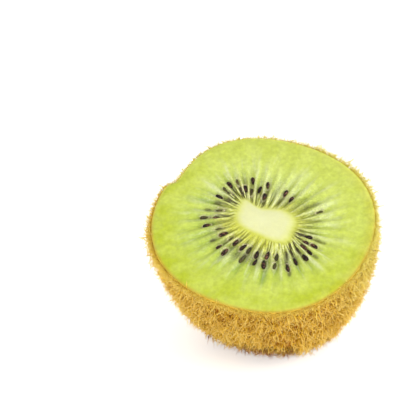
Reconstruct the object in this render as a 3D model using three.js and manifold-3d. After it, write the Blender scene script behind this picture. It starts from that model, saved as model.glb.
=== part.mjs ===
// Half of a kiwi fruit, cut across its middle and lying on its rounded side with the cut face up and
// forward. It is one solid: pulp, core and skin grow together, the seeds sit half sunk in the pulp, and the
// dry scar of the flower end is on the far end. Millimetres, +Z up, the floor at Z = 0, and the origin in
// the middle of the small flat spot on which the soft fruit rests. The cut face looks up and towards -Y.
import * as THREE from "three";
import { mergeVertices } from "three/addons/utils/BufferGeometryUtils.js";
import Module from "manifold-3d";

// How the half lies.
const faceTilt = 30; // degrees that the cut face leans towards -Y
const faceCentre = new THREE.Vector3(-2.4, -4.35, 36.0);

// The cut face. Angles are in degrees, counterclockwise from +X, seen from outside.
const faceHalfWidth = 27.0;
const faceHalfHeight = 25.3;
const twoLobes = { height: 0.36, peak: -34.5 }; // slow waves that make the outline uneven
const fourLobes = { height: 0.39, peak: 29.5 };
const dent = { depth: 1.75, angle: 158, before: 19, after: 4, fade: 0.7 }; // beside the left shoulder

// The body below the face.
const halfDepth = 36;
const bluntness = 2.4; // exponent of its profile: 2 is an ellipse, and more is blunter
const endShift = { x: 1.9, y: -3.9 }; // where the far end lies from the face's middle
const skinWave = 0.35; // height of the long, low lumps of the skin
const nap = { height: 0.16, endRows: 4 }; // roughness from the coat of hair, which fades at the far end

// The core in the middle of the face.
const core = { halfLength: 8.7, halfWidth: 5.25, turn: -26, x: 1.0, y: 0.1, dome: 0.3 };
const coreBay = { depth: 2.8, angle: 94, width: 31 }; // its upper side bows in
const coreCorners = { share: 0.08, angle: 29 }; // the core is a little square

// From here on, places between the core's edge and the skin are shares of that way: 0 to 1.
const chambers = { count: 36, unevenness: 1.2, depth: 0.3, start: 0.08, fadeFrom: 0.35, fadeTo: 0.675 };
const walls = { height: 0.26, start: 0.1, fadeFrom: 0.4, fadeTo: 0.8 }; // pale, between the chambers
const rim = { rounding: 0.3, from: 0.93 };

// Seeds. A chamber shows up to two of them, and fewer on the sparse side.
const seed = { length: 2.15, width: 1.2, height: 1.05, lift: 0.2, taper: 0.22 };
const seedRing = { from: 0.13, to: 0.4, wander: 0.6 };
const seedChance = { always: 0.1, first: 0.9, second: 0.75, shown: 0.8 };
const sparseSide = { angle: 15, thinning: 0.75 };
const seedVariety = { turn: 3, roll: 26, smallest: 0.82, largest: 1.16 };
const seedDraw = 719502;

// The scar of the flower end.
const scar = { radius: 2.3, height: 1.5, sink: 1.0, sides: 14 };

// Fineness.
const columns = 4 * chambers.count;
const skinColumns = columns / 2;
const skinRows = 24;
const faceRings = [0.05, 0.13, 0.22, 0.32, 0.42, 0.54, 0.7, 0.86, 0.965, 1];
const seedSides = { around: 6, along: 4 };

const { cos, sin, hypot, exp, PI } = Math;
const rad = THREE.MathUtils.degToRad;
const smooth = THREE.MathUtils.smoothstep;

// Park and Miller's generator: the same draws on every run.
function draws(start) {
  let state = start;
  return () => (state = (state * 16807) % 2147483647) / 2147483647;
}

// The signed turn from one angle to another, between -PI and PI.
function turnFrom(angle, centre) {
  const turn = (angle - centre) % (2 * PI);
  return turn - 2 * PI * Math.round(turn / (2 * PI));
}

function dentDepth(angle) {
  const turn = turnFrom(angle, rad(dent.angle));
  const width = rad(turn < 0 ? dent.before : dent.after);
  return dent.depth * exp(-((turn / width) ** 2));
}

// The outline's radius, with the dent at a share of its depth.
function outline(angle, dentShare = 1) {
  const ellipse =
    (faceHalfWidth * faceHalfHeight) / hypot(faceHalfHeight * cos(angle), faceHalfWidth * sin(angle));
  const waves =
    twoLobes.height * cos(2 * (angle - rad(twoLobes.peak))) +
    fourLobes.height * cos(4 * (angle - rad(fourLobes.peak)));
  return ellipse + waves - dentShare * dentDepth(angle);
}

// A point of the core's edge: a turned ellipse with one bay and four soft corners.
function coreEdge(angle) {
  const turn = rad(core.turn);
  const bay = coreBay.depth * exp(-((turnFrom(angle, rad(coreBay.angle)) / rad(coreBay.width)) ** 2));
  const corners = 1 + coreCorners.share * cos(4 * (angle - rad(coreCorners.angle)));
  const along = corners * core.halfLength * cos(angle - turn);
  const across = corners * (core.halfWidth - bay) * sin(angle - turn);
  return [
    core.x + along * cos(turn) - across * sin(turn),
    core.y + along * sin(turn) + across * cos(turn),
  ];
}

// The chambers' widths vary. This runs on by 2 PI for each chamber, and is a multiple of it at each wall.
function chamberPhase(angle) {
  return chambers.count * angle + chambers.unevenness * sin(3 * angle + 1);
}

// The angle at which chamberPhase() has a value, in a few steps that close in on it.
function angleAtPhase(phase) {
  let angle = phase / chambers.count;
  for (let i = 0; i < 4; i += 1) angle += (phase - chamberPhase(angle)) / chambers.count;
  return angle;
}

// Rises from 0 to 1 at the start of a band of the face, and falls back at its end.
function band(share, { start, fadeFrom, fadeTo }) {
  return smooth(share, 0, start) * (1 - smooth(share, fadeFrom, fadeTo));
}

// How high the cut face stands.
function faceHeight(angle, share) {
  const hollow = chambers.depth * band(share, chambers);
  const ridge = walls.height * band(share, walls) * cos(chamberPhase(angle));
  return ridge - hollow - rim.rounding * smooth(share, rim.from, 1) ** 2;
}

// A point of the cut face, on the straight line from the core's edge to the skin.
function facePoint(angle, share) {
  const [x, y] = coreEdge(angle);
  const radius = outline(angle);
  const px = x + share * (radius * cos(angle) - x);
  const py = y + share * (radius * sin(angle) - y);
  return new THREE.Vector3(px, py, faceHeight(angle, share));
}

// A point of the skin. Way runs from 0 at the cut to 1 at the far end. The lumps are two waves round the
// fruit that wind as they go down.
function skinPoint(angle, way, bump = 0) {
  const turn = (way * PI) / 2;
  const width = Math.max(0, cos(turn)) ** (2 / bluntness);
  const depth = sin(turn) ** (2 / bluntness);
  const lumps = skinWave * sin(2 * turn) * (sin(3 * angle + 4 * turn) + 0.6 * sin(5 * angle - 3 * turn + 1));
  const radius = (outline(angle, (1 - depth) ** dent.fade) + lumps) * width + bump;
  return new THREE.Vector3(
    radius * cos(angle) + endShift.x * depth ** 2,
    radius * sin(angle) + endShift.y * depth ** 2,
    -halfDepth * depth - rim.rounding,
  );
}

// The fruit's closed surface, as a list of points and one of triangles: the face's rings from the middle
// of the core outwards, then the skin's rows down to the far end.
function fruitGeometry() {
  const points = [];
  const triangles = [];
  const add = (point) => points.push(point.x, point.y, point.z) / 3 - 1;
  const around = (count, place) => Array.from({ length: count }, (_, k) => add(place((k / count) * 2 * PI)));
  const random = draws(seedDraw + 1);

  const middle = add(new THREE.Vector3(0, 0, core.dome));
  const rings = [0.5, 1].map((share) =>
    around(columns, (angle) => {
      const [x, y] = coreEdge(angle);
      return new THREE.Vector3(x * share, y * share, core.dome * (1 - share ** 2));
    }),
  );
  rings.push(...faceRings.map((share) => around(columns, (angle) => facePoint(angle, share))));

  rings[0].forEach((corner, k) => triangles.push(middle, corner, rings[0][(k + 1) % columns]));
  joinRings(triangles, rings);

  const rows = [];
  for (let row = 1; row < skinRows; row += 1) {
    const rough = nap.height * Math.min(1, (skinRows - row) / nap.endRows);
    rows.push(around(skinColumns, (angle) => skinPoint(angle, row / skinRows, rough * (2 * random() - 1))));
  }
  const edge = rings.at(-1); // it has two points for each one of the skin's first row
  rows[0].forEach((corner, k) => {
    const next = rows[0][(k + 1) % skinColumns];
    const [a, b, c] = [edge[2 * k], edge[2 * k + 1], edge[(2 * k + 2) % columns]];
    triangles.push(a, corner, b, b, corner, next, b, next, c);
  });
  joinRings(triangles, rows);
  const end = add(skinPoint(0, 1));
  rows.at(-1).forEach((corner, k, ring) => triangles.push(corner, end, ring[(k + 1) % skinColumns]));

  const geometry = new THREE.BufferGeometry();
  geometry.setAttribute("position", new THREE.Float32BufferAttribute(points, 3));
  geometry.setIndex(triangles);
  return geometry;
}

// Triangles between each ring and the next one out. All the rings have the same number of points.
function joinRings(triangles, rings) {
  for (let i = 1; i < rings.length; i += 1) {
    const [inner, outer] = [rings[i - 1], rings[i]];
    inner.forEach((a, k) => {
      const b = inner[(k + 1) % inner.length];
      const c = outer[k];
      const d = outer[(k + 1) % outer.length];
      triangles.push(a, c, d, a, d, b);
    });
  }
}

// Up to two seeds for each chamber, each pointing at the core.
function seedPlaces() {
  const random = draws(seedDraw);
  const places = [];
  for (let k = 0; k < chambers.count; k += 1) {
    const middle = angleAtPhase(2 * PI * (k + 0.5));
    const crowding = 1 - sparseSide.thinning * Math.max(0, cos(middle - rad(sparseSide.angle))) ** 2;
    const first = random() < seedChance.always + seedChance.first * crowding;
    const second = random() < seedChance.second * crowding;
    const count = Number(first) + Number(second);
    const step = (seedRing.to - seedRing.from) / count;
    for (let i = 0; i < count; i += 1) {
      const share = seedRing.from + step * (i + 0.25 + seedRing.wander * random());
      const angle = middle + rad(seedVariety.turn) * (random() - 0.5);
      const size = seedVariety.smallest + (seedVariety.largest - seedVariety.smallest) * random();
      const roll = rad(seedVariety.roll) * (random() - 0.5);
      const shown = random() < seedChance.shown; // the others are still under the pulp
      if (shown) places.push({ angle, share, size, roll });
    }
  }
  return places;
}

// A seed's outline is a drop: its end towards the core is the narrow one.
function seedGeometry({ angle, share, size, roll }) {
  const geometry = new THREE.SphereGeometry(1, seedSides.around, seedSides.along);
  geometry.rotateZ(PI / 2);
  const position = geometry.getAttribute("position");
  for (let i = 0; i < position.count; i += 1) {
    const narrow = 1 - seed.taper * (1 - position.getX(i));
    position.setY(i, position.getY(i) * narrow);
    position.setZ(i, position.getZ(i) * narrow);
  }
  geometry.scale((seed.length / 2) * size, (seed.width / 2) * size, (seed.height / 2) * size);
  const here = facePoint(angle, share);
  const outwards = facePoint(angle, share + 0.1).sub(here);
  geometry.rotateZ(Math.atan2(outwards.y, outwards.x) + roll);
  geometry.translate(here.x, here.y, here.z + seed.lift);
  return geometry;
}

// The dry scar: a low button with a raised lip and a stub in its middle.
function scarGeometry() {
  const { radius, height, sink, sides } = scar;
  const profile = [
    [0, -sink],
    [radius, -sink],
    [radius, 0.2 * height],
    [0.75 * radius, 0.55 * height],
    [0.45 * radius, 0.3 * height],
    [0.3 * radius, 0.9 * height],
    [0, height],
  ].map(([x, y]) => new THREE.Vector2(x, y));
  const geometry = new THREE.LatheGeometry(profile, sides);
  geometry.rotateX(-PI / 2); // its axis now runs along -Z, out of the far end
  const end = skinPoint(0, 1);
  geometry.translate(end.x, end.y, end.z);
  return geometry;
}

const wasm = await Module();
wasm.setup();

function solidOf(geometry) {
  const bare = geometry.clone();
  bare.deleteAttribute("normal");
  bare.deleteAttribute("uv");
  const merged = mergeVertices(bare, 1e-4);
  return new wasm.Manifold(
    new wasm.Mesh({
      numProp: 3,
      vertProperties: merged.getAttribute("position").array,
      triVerts: new Uint32Array(merged.getIndex().array),
    }),
  );
}

function geometryOf(solid) {
  const mesh = solid.getMesh();
  const geometry = new THREE.BufferGeometry();
  geometry.setAttribute("position", new THREE.BufferAttribute(mesh.vertProperties, 3));
  geometry.setIndex(new THREE.BufferAttribute(mesh.triVerts, 1));
  geometry.computeVertexNormals();
  return geometry;
}

// The pieces are joined as they lie on the floor, and what would sink below the floor is pressed flat.
const lying = new THREE.Matrix4().makeRotationX(rad(faceTilt)).setPosition(faceCentre);
const pieces = [fruitGeometry(), ...seedPlaces().map(seedGeometry), scarGeometry()];
const whole = pieces
  .map((geometry) => solidOf(geometry.applyMatrix4(lying)))
  .reduce((joined, next) => joined.add(next));
const floorSize = 4 * halfDepth;
const floor = new THREE.BoxGeometry(floorSize, floorSize, floorSize).translate(0, 0, -floorSize / 2);

const pulp = new THREE.MeshStandardMaterial({ color: 0xcfdc58, roughness: 0.4, metalness: 0 });
const half = new THREE.Mesh(geometryOf(whole.subtract(solidOf(floor))), pulp);
half.name = "kiwi_half";

const part = new THREE.Group();
part.add(half);

export default part;
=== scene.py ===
import math
import random

import bpy
import numpy as np
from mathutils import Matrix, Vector, noise


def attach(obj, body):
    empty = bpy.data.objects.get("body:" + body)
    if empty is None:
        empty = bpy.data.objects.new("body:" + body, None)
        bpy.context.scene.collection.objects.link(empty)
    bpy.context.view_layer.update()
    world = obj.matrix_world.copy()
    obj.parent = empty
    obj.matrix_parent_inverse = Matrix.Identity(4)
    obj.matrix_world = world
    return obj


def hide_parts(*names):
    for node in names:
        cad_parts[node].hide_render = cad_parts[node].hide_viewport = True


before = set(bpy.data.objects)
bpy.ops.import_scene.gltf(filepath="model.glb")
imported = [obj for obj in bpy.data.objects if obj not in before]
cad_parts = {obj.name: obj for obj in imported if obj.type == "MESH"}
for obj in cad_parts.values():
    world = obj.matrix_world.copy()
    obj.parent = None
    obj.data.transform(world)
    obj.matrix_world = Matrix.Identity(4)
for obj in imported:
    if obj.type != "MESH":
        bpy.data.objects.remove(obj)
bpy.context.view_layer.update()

mm = 0.001
rad = math.radians
circle = 2 * math.pi
tiny = 0.001  # a small step around the skin or along it

# ---- the shape of the fruit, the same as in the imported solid

fruit = {
    "faceTilt": 30.0,  # how far the cut face leans towards -Y
    "faceCentre": (-2.4, -4.35, 36.0),
    "halfWidth": 27.0,
    "halfHeight": 25.3,
    "twoLobes": (0.36, -34.5),  # height and direction of slow waves in the outline
    "fourLobes": (0.39, 29.5),
    "dent": {"depth": 1.75, "angle": 158, "before": 19, "after": 4, "fade": 0.7},
    "rimRounding": 0.3,
    "rimFrom": 0.93,
    "halfDepth": 36.0,
    "bluntness": 2.4,
    "endShift": (1.9, -3.9),
    "skinWave": 0.35,
}
core = {
    "halfLength": 8.7,
    "halfWidth": 5.25,
    "turn": -26,
    "middle": (1.0, 0.1),
    "dome": 0.3,
    "bay": {"depth": 2.8, "angle": 94, "width": 31},
    "corners": (0.08, 29),
}
chambers = {
    "count": 36,
    "unevenness": 1.2,
    "depth": 0.3,
    "band": (0, 0.08, 0.35, 0.675),  # where the hollow starts, is full, starts to fade and has gone
    "wallHeight": 0.26,
    "wallBand": (0, 0.1, 0.4, 0.8),
}


# 0 below the first limit, 1 above the second and a soft rise between them
def smooth(value, low, high):
    t = np.clip((value - low) / (high - low), 0, 1)
    return t * t * (3 - 2 * t)


# a soft rise to 1 and then, where it has an end, a soft fall back to 0
def zone(value, start, full, fade=2, gone=3):
    return smooth(value, start, full) * (1 - smooth(value, fade, gone))


# a hump that is 1 where the value is 0
def hump(value, width):
    return np.exp(-((value / width) ** 2))


def turnFrom(angle, centre):
    return (angle - centre + math.pi) % circle - math.pi


# strongest in one direction and nothing from a quarter turn away
def onSide(angle, direction, strength=1.0, power=2):
    return strength * np.maximum(0, np.cos(angle - rad(direction))) ** power


def outline(angle, dentShare=1.0):
    a, b = fruit["halfWidth"], fruit["halfHeight"]
    ellipse = a * b / np.hypot(b * np.cos(angle), a * np.sin(angle))
    waves = 0.0
    for lobes, (height, peak) in ((2, fruit["twoLobes"]), (4, fruit["fourLobes"])):
        waves = waves + height * np.cos(lobes * (angle - rad(peak)))
    dent = fruit["dent"]
    turn = turnFrom(angle, rad(dent["angle"]))
    width = np.where(turn < 0, rad(dent["before"]), rad(dent["after"]))
    return ellipse + waves - dentShare * dent["depth"] * hump(turn, width)


def coreEdge(angle):
    turn = rad(core["turn"])
    bay = core["bay"]
    bow = bay["depth"] * hump(turnFrom(angle, rad(bay["angle"])), rad(bay["width"]))
    share, peak = core["corners"]
    corners = 1 + share * np.cos(4 * (angle - rad(peak)))
    along = corners * core["halfLength"] * np.cos(angle - turn)
    across = corners * (core["halfWidth"] - bow) * np.sin(angle - turn)
    x = core["middle"][0] + along * math.cos(turn) - across * math.sin(turn)
    y = core["middle"][1] + along * math.sin(turn) + across * math.cos(turn)
    return x, y


# grows by a full circle from one wall between chambers to the next
def chamberPhase(angle):
    return chambers["count"] * angle + chambers["unevenness"] * np.sin(3 * angle + 1)


def angleAtPhase(phase):
    angle = phase / chambers["count"]
    for _ in range(4):
        angle += (phase - chamberPhase(angle)) / chambers["count"]
    return angle


def faceHeight(angle, share):
    hollow = zone(share, *chambers["band"])
    ridge = zone(share, *chambers["wallBand"]) * np.cos(chamberPhase(angle))
    rim = fruit["rimRounding"] * smooth(share, fruit["rimFrom"], 1) ** 2
    return chambers["wallHeight"] * ridge - chambers["depth"] * hollow - rim


# a point of the cut face: share 0 is the core's edge and 1 the skin
def facePoint(angle, share):
    x, y = coreEdge(angle)
    radius = outline(angle)
    px = x + share * (radius * np.cos(angle) - x)
    py = y + share * (radius * np.sin(angle) - y)
    return np.stack([px, py, faceHeight(angle, share)], axis=-1)


# a point of the skin: way 0 is the cut and 1 the far end
def skinPoint(angle, way):
    turn = way * math.pi / 2
    width = np.maximum(0, np.cos(turn)) ** (2 / fruit["bluntness"])
    depth = np.sin(turn) ** (2 / fruit["bluntness"])
    winding = np.sin(3 * angle + 4 * turn) + 0.6 * np.sin(5 * angle - 3 * turn + 1)
    lumps = fruit["skinWave"] * np.sin(2 * turn) * winding
    radius = (outline(angle, (1 - depth) ** fruit["dent"]["fade"]) + lumps) * width
    x = radius * np.cos(angle) + fruit["endShift"][0] * depth**2
    y = radius * np.sin(angle) + fruit["endShift"][1] * depth**2
    return np.stack([x, y, -fruit["halfDepth"] * depth - fruit["rimRounding"]], axis=-1)


# from the cut face's own frame to where the fruit lies
def lie(points, shift=True):
    tilt = rad(fruit["faceTilt"])
    c, s = math.cos(tilt), math.sin(tilt)
    x, y, z = points[..., 0], points[..., 1], points[..., 2]
    laid = np.stack([x, y * c - z * s, y * s + z * c], axis=-1)
    return laid + np.array(fruit["faceCentre"]) if shift else laid


# ---- small helpers for meshes and materials


# points in millimetres where they lie, and faces as an array with 3 or 4 corners in each row
def makeMesh(name, points, faces):
    mesh = bpy.data.meshes.new(name)
    corners = faces.shape[1]
    mesh.vertices.add(len(points))
    mesh.vertices.foreach_set("co", (points * mm).astype(np.float32).ravel())
    mesh.loops.add(faces.size)
    mesh.loops.foreach_set("vertex_index", faces.astype(np.int32).ravel())
    mesh.polygons.add(len(faces))
    mesh.polygons.foreach_set("loop_start", np.arange(0, faces.size, corners, dtype=np.int32))
    mesh.update(calc_edges=True)
    mesh.shade_smooth()
    piece = bpy.data.objects.new(name, mesh)
    bpy.context.scene.collection.objects.link(piece)
    return piece


# the triangles of a closed shell: its points are a first one, rows of them all around, and a last one
def shellFaces(rows, columns):
    k = np.arange(columns)
    after = (k + 1) % columns
    start = 1 + columns * np.arange(rows - 1)[:, None]
    a, b = start + k, start + after
    c, d = a + columns, b + columns
    last = 1 + columns * (rows - 1)
    triangles = [
        np.stack([a, c, d], axis=-1).reshape(-1, 3),
        np.stack([a, d, b], axis=-1).reshape(-1, 3),
        np.stack([0 * k, 1 + k, 1 + after], axis=-1),
        np.stack([last + k, np.full(columns, last + columns), last + after], axis=-1),
    ]
    return np.concatenate(triangles)


# a value or a vector for each point, which a material reads by its name
def addMask(piece, name, values):
    kind, field = ("FLOAT_VECTOR", "vector") if values.ndim == 2 else ("FLOAT", "value")
    layer = piece.data.attributes.new(name, kind, "POINT")
    layer.data.foreach_set(field, values.astype(np.float32).ravel())


# smooth noise, about -1 to 1, with lumps of the given size
def lumpy(points, size, offset=0.0):
    shift = Vector((offset, 1.7 * offset, -offset))
    return np.array([noise.noise(Vector(point) / size + shift) for point in points.tolist()])


# a colour as a screen shows it, 0 to 255, turned into the light that Blender works with
def screenColour(red, green, blue):
    values = []
    for level in (red, green, blue):
        level /= 255
        values.append(level / 12.92 if level <= 0.04045 else ((level + 0.055) / 1.055) ** 2.4)
    return (*values, 1.0)


def newMaterial(name):
    material = bpy.data.materials.new(name)
    material.use_nodes = True
    tree = material.node_tree
    tree.nodes.clear()
    shader = tree.nodes.new("ShaderNodeBsdfPrincipled")
    output = tree.nodes.new("ShaderNodeOutputMaterial")
    tree.links.new(shader.outputs["BSDF"], output.inputs["Surface"])
    return material, tree, shader


def setShader(shader, values):
    for name, value in values.items():
        shader.inputs[name].default_value = value


def readAttribute(tree, name, socket="Fac"):
    node = tree.nodes.new("ShaderNodeAttribute")
    node.attribute_name = name
    return node.outputs[socket]


def objectPlace(tree):
    return tree.nodes.new("ShaderNodeTexCoord").outputs["Object"]


# the scale counts per metre where the noise lies on the object
def noiseNode(tree, vector, scale, detail, roughness):
    node = tree.nodes.new("ShaderNodeTexNoise")
    setShader(node, {"Scale": scale, "Detail": detail, "Roughness": roughness})
    tree.links.new(vector, node.inputs["Vector"])
    return node.outputs["Fac"]


def remap(tree, value, fromLow, fromHigh, toLow=0.0, toHigh=1.0):
    node = tree.nodes.new("ShaderNodeMapRange")
    setShader(node, {"From Min": fromLow, "From Max": fromHigh, "To Min": toLow, "To Max": toHigh})
    tree.links.new(value, node.inputs["Value"])
    return node.outputs["Result"]


# gives each socket its value, which is fixed or comes from another node
def feed(tree, sockets, values):
    for socket, value in zip(sockets, values):
        if isinstance(value, (float, tuple)):
            socket.default_value = value
        else:
            tree.links.new(value, socket)


def multiply(tree, first, second):
    node = tree.nodes.new("ShaderNodeMath")
    node.operation = "MULTIPLY"
    feed(tree, node.inputs, (first, second))
    return node.outputs[0]


# mixes two colours, each a socket or a fixed colour, by a socket
def mixColours(tree, factor, first, second):
    node = tree.nodes.new("ShaderNodeMix")
    node.data_type = "RGBA"
    feed(tree, (node.inputs[0], node.inputs[6], node.inputs[7]), (factor, first, second))
    return node.outputs[2]


def darkToLight(tree, level, look):
    return mixColours(tree, level, screenColour(*look["dark"]), screenColour(*look["light"]))


def scaleColour(tree, colour, gain):
    node = tree.nodes.new("ShaderNodeVectorMath")
    node.operation = "SCALE"
    feed(tree, (node.inputs[0], node.inputs["Scale"]), (colour, gain))
    return node.outputs[0]


def colourRamp(tree, value, stops):
    node = tree.nodes.new("ShaderNodeValToRGB")
    ramp = node.color_ramp
    while len(ramp.elements) < len(stops):
        ramp.elements.new(1.0)
    for element, (position, colour) in zip(ramp.elements, stops):
        element.position = position
        element.color = screenColour(*colour)
    tree.links.new(value, node.inputs["Fac"])
    return node.outputs["Color"]


# gives the shader its colour and its surface, and a fine relief if there is one
def finishShader(tree, shader, colour, look, relief=None, depth=0.0):
    tree.links.new(colour, shader.inputs["Base Color"])
    setShader(shader, look["surface"])
    if relief:
        bump = tree.nodes.new("ShaderNodeBump")
        bump.inputs["Distance"].default_value = depth * mm
        tree.links.new(relief, bump.inputs["Height"])
        tree.links.new(bump.outputs["Normal"], shader.inputs["Normal"])


# ---- camera, floor and studio light

cameraLook = {
    "azimuth": 13.07,
    "elevation": 25.0,
    "distance": 270.0,
    "lens": 100.0,
    "nearest": 10.0,  # what is nearer than this isn't drawn
    "aim": (-15.37, 0.0, 3.70),  # from the middle of the cut face, which stands right of the picture's middle
}
studio = {
    "worldLight": 0.85,
    "frontLight": {"azimuth": -10, "elevation": 15, "distance": 700, "size": 500, "power": 2.4},
    "sideLight": {"azimuth": 92, "elevation": 24, "distance": 700, "size": 420, "power": 2.8},
    "floorSize": 3000,
    "floor": (252, 252, 250),
    "floorSurface": {"Roughness": 0.7, "Specular IOR Level": 0.2},
    "tableGlow": 0.4,  # a white table with a faint light under it
}


# puts a camera or a lamp back from its target, and faces it that way
def standBack(name, data, look, target=(0, 0, 0)):
    a, e = rad(look["azimuth"]), rad(look["elevation"])
    back = Vector((math.sin(a) * math.cos(e), -math.cos(a) * math.cos(e), math.sin(e)))
    piece = bpy.data.objects.new(name, data)
    piece.location = (Vector(target) + back * look["distance"]) * mm
    piece.rotation_mode = "QUATERNION"
    piece.rotation_quaternion = (-back).to_track_quat("-Z", "Y")
    bpy.context.scene.collection.objects.link(piece)
    return piece


def makeCamera():
    data = bpy.data.cameras.new("camera")
    data.lens = cameraLook["lens"]
    data.clip_start = cameraLook["nearest"] * mm
    target = Vector(fruit["faceCentre"]) + Vector(cameraLook["aim"])
    bpy.context.scene.camera = standBack("camera", data, cameraLook, target)


def makeLight(name):
    lamp = bpy.data.lights.new(name, "AREA")
    lamp.shape = "DISK"
    lamp.size = studio[name]["size"] * mm
    lamp.energy = studio[name]["power"]
    standBack(name, lamp, studio[name])


def makeStudio():
    scene = bpy.context.scene
    scene.view_settings.view_transform = "Standard"
    scene.world = bpy.data.worlds.new("whiteStudio")
    scene.world.use_nodes = True
    background = scene.world.node_tree.nodes["Background"]
    setShader(background, {"Color": (1, 1, 1, 1), "Strength": studio["worldLight"]})
    makeLight("frontLight")
    makeLight("sideLight")

    half = studio["floorSize"] / 2
    corners = np.array([[-half, -half, 0], [half, -half, 0], [half, half, 0], [-half, half, 0]], dtype=float)
    floor = makeMesh("floor", corners, np.array([[0, 1, 2, 3]]))
    material, tree, shader = newMaterial("floorPaint")
    setShader(shader, {"Base Color": screenColour(*studio["floor"])})
    setShader(shader, studio["floorSurface"])
    setShader(shader, {"Emission Color": (1, 1, 1, 1), "Emission Strength": studio["tableGlow"]})
    floor.data.materials.append(material)


makeCamera()
makeStudio()
print("camera, floor and lights are in place")

# ---- seeds: where they lie is worked out before the pulp, which makes room for them

seedLook = {
    "length": 2.15,
    "width": 1.2,
    "height": 1.05,
    "lift": 0.2,
    "ring": (0.13, 0.4, 0.6),  # from, to and how far a seed strays in its own part of the way
    "chances": {"always": 0.1, "first": 0.9, "second": 0.75, "shown": 0.8},
    "sparseSide": (15, 0.75),  # direction, and how many fewer seeds it has
    "turn": 3,
    "roll": 26,
    "sizes": (0.82, 1.16),
    "longer": (0.88, 1.05),  # how much the length and the width vary beside the size
    "wider": (0.8, 1.08),
    "taper": 0.22,
    "lean": 0.12,  # how far a seed bows to one side
    "dimples": (0.35, 0.03),  # size and height of the bumps on a seed
    "sunk": (0.35, 0.45),  # how many seeds lie deeper, and how much
    "draw": 719502,
    "rings": 14,
    "sides": 12,
}


# Park and Miller's generator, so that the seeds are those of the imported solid
def draws(state):
    factor, modulus = 16807, 2147483647
    while True:
        state = state * factor % modulus
        yield state / modulus


# a seed in the cut face that points away from the core, but for its roll
def seedAt(angle, share, size, roll):
    here = facePoint(angle, share)
    ahead = facePoint(angle, share + 0.1) - here
    return {"point": here, "heading": math.atan2(ahead[1], ahead[0]) + roll, "size": size}


def seedPlaces():
    source = draws(seedLook["draw"])
    chances = seedLook["chances"]
    start, end, wander = seedLook["ring"]
    sparse, thinning = seedLook["sparseSide"]
    smallest, largest = seedLook["sizes"]
    shown, hidden = [], []
    for k in range(chambers["count"]):
        middle = float(angleAtPhase(circle * (k + 0.5)))
        crowding = 1 - thinning * max(0, math.cos(middle - rad(sparse))) ** 2
        first = next(source) < chances["always"] + chances["first"] * crowding
        second = next(source) < chances["second"] * crowding
        count = int(first) + int(second)
        for i in range(count):
            share = start + (end - start) / count * (i + 0.25 + wander * next(source))
            angle = middle + rad(seedLook["turn"]) * (next(source) - 0.5)
            size = smallest + (largest - smallest) * next(source)
            roll = rad(seedLook["roll"]) * (next(source) - 0.5)
            places = shown if next(source) < chances["shown"] else hidden
            places.append(seedAt(angle, share, size, roll))
    return shown, hidden


# ---- the half itself: one closed mesh, pulp on the cut face and peel outside

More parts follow.
